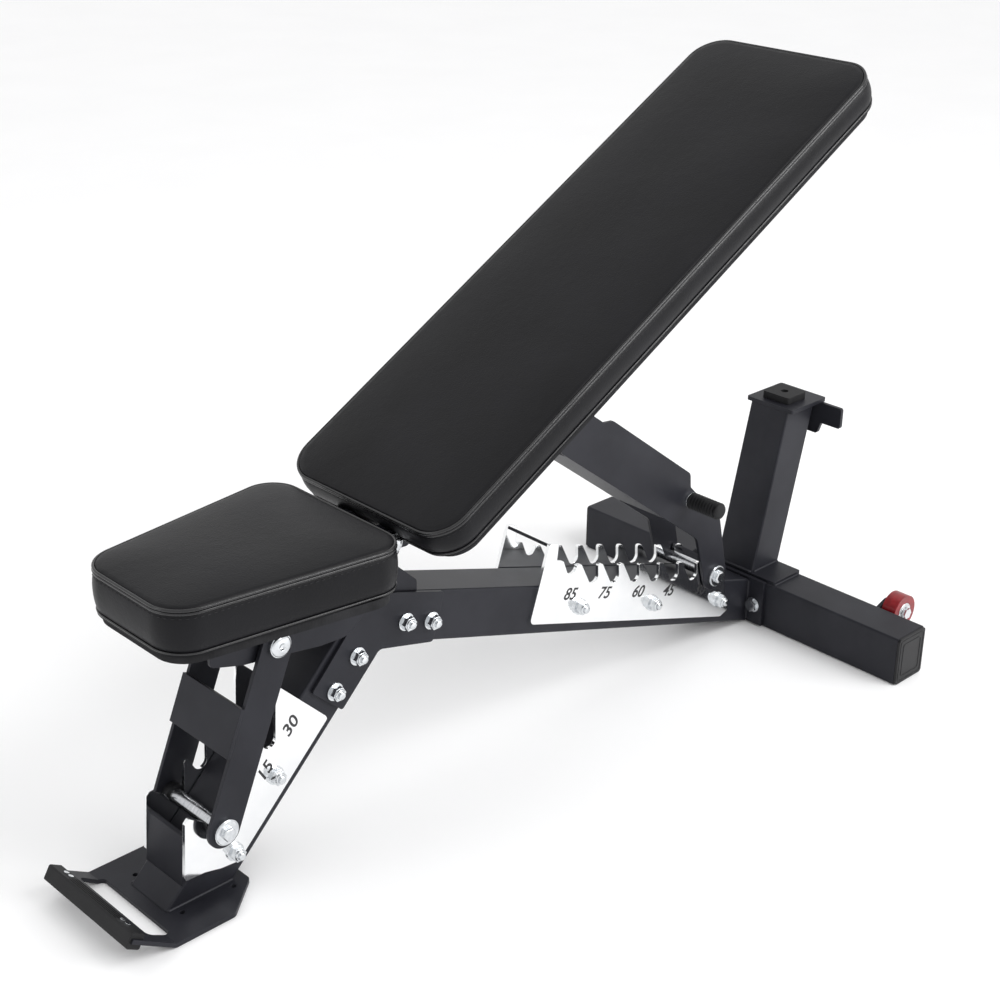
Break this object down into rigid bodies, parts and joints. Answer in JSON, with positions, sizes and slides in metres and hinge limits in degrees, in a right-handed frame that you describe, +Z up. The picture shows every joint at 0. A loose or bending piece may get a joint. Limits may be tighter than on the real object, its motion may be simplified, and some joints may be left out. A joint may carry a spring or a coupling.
{
  "type": "adjustable weight bench",
  "caption": "Adjustable weight bench with a tapered seat and long backrest on ladder-type supports, a foot plate with a hand slot, and a rear crossbar with transport wheels.",
  "frame": {"origin": "on the floor, under the middle of the overall box", "axes": "+X from the foot plate towards the head end, -Y towards the side with the arm handle, +Z up"},
  "size_m": [1.3296, 0.6326, 0.8696],
  "materials": {
    "graphite_coat": "satin powder coat, faint metallic fleck",
    "polished_plate": "bright polished plate",
    "zinc_hardware": "bright zinc plate",
    "roller_steel": "turned steel",
    "pad_vinyl": "grained satin vinyl",
    "board_black": "black backed board",
    "black_rubber": "matt moulded rubber",
    "black_plastic": "moulded",
    "wheel_tyre": "satin polyurethane",
    "wheel_hub": "cast"
  },
  "bodies": {
    "frame": {"back_ladder_left": "polished_plate", "back_ladder_right": "polished_plate", "bumper_screw": "zinc_hardware", "crossbar_caps": "black_plastic", "crossbar_tube": "graphite_coat", "foot_handle_cover": "black_rubber", "foot_handle_screws": "zinc_hardware", "foot_plate": "graphite_coat", "frame_bolts": "zinc_hardware", "frame_nuts": "zinc_hardware", "frame_washers": "zinc_hardware", "hinge_cap_screws": "zinc_hardware", "hinge_ears": "graphite_coat", "hinge_shaft": "zinc_hardware", "knee_plate_left": "graphite_coat", "knee_plate_right": "graphite_coat", "ladder_tie_rod": "graphite_coat", "leg_tube": "graphite_coat", "post_base_plate": "graphite_coat", "post_bumper": "black_rubber", "post_cap_plate": "graphite_coat", "post_tube": "graphite_coat", "rear_flange_bolts": "zinc_hardware", "rear_flange_plate": "graphite_coat", "seat_ladder_left": "polished_plate", "seat_ladder_right": "polished_plate", "spine_tube": "graphite_coat", "storage_foot": "graphite_coat", "toe_plate": "graphite_coat", "wheel_axles": "zinc_hardware", "wheel_brackets": "graphite_coat"},
    "backrest": {"back_board": "board_black", "back_pad": "pad_vinyl", "back_rail": "graphite_coat", "back_hinge_lugs": "graphite_coat", "arm_pivot_lugs": "graphite_coat", "arm_pivot_pin": "zinc_hardware"},
    "back_arm": {"back_arm_left": "graphite_coat", "back_arm_right": "graphite_coat", "back_arm_web": "graphite_coat", "back_roller": "roller_steel", "back_roller_bolt": "zinc_hardware", "handle_rod": "zinc_hardware", "handle_grip": "black_rubber"},
    "seat": {"seat_board": "board_black", "seat_pad": "pad_vinyl", "seat_side_plate_left": "graphite_coat", "seat_side_plate_right": "graphite_coat", "seat_cross_plate": "graphite_coat", "seat_pivot_bolts": "zinc_hardware"},
    "seat_arm": {"seat_arm_left": "graphite_coat", "seat_arm_right": "graphite_coat", "seat_arm_web": "graphite_coat", "seat_roller": "roller_steel", "seat_roller_spacers": "black_plastic", "seat_roller_bolt": "zinc_hardware"},
    "wheel_left": {"wheel_tyre_left": "wheel_tyre", "wheel_hub_left": "wheel_hub"},
    "wheel_right": {"wheel_tyre_right": "wheel_tyre", "wheel_hub_right": "wheel_hub"}
  },
  "joints": [
    {"name": "back_hinge", "type": "hinge", "parent": "frame", "child": "backrest", "pos_m": [-0.22916, 0, 0.386], "axis": [0, -1, 0], "range_deg": [0, 54]},
    {"name": "back_arm_pivot", "type": "hinge", "parent": "backrest", "child": "back_arm", "pos_m": [0.04838, 0, 0.48133], "axis": [0, 1, 0], "range_deg": [0, 54]},
    {"name": "seat_hinge", "type": "hinge", "parent": "frame", "child": "seat", "pos_m": [-0.22916, 0, 0.386], "axis": [0, 1, 0], "range_deg": [0, 30]},
    {"name": "seat_arm_pivot", "type": "hinge", "parent": "seat", "child": "seat_arm", "pos_m": [-0.41116, 0, 0.317], "axis": [0, -1, 0], "range_deg": [0, 33]},
    {"name": "wheel_left_spin", "type": "hinge", "parent": "frame", "child": "wheel_left", "pos_m": [0.61684, -0.244, 0.063], "axis": [0, 1, 0], "continuous": true},
    {"name": "wheel_right_spin", "type": "hinge", "parent": "frame", "child": "wheel_right", "pos_m": [0.61684, 0.244, 0.063], "axis": [0, 1, 0], "continuous": true}
  ],
  "couplings": [
    {"joint": "back_arm_pivot", "follows": "back_hinge", "ratio": 1},
    {"joint": "seat_arm_pivot", "follows": "seat_hinge", "ratio": 1.1}
  ]
}
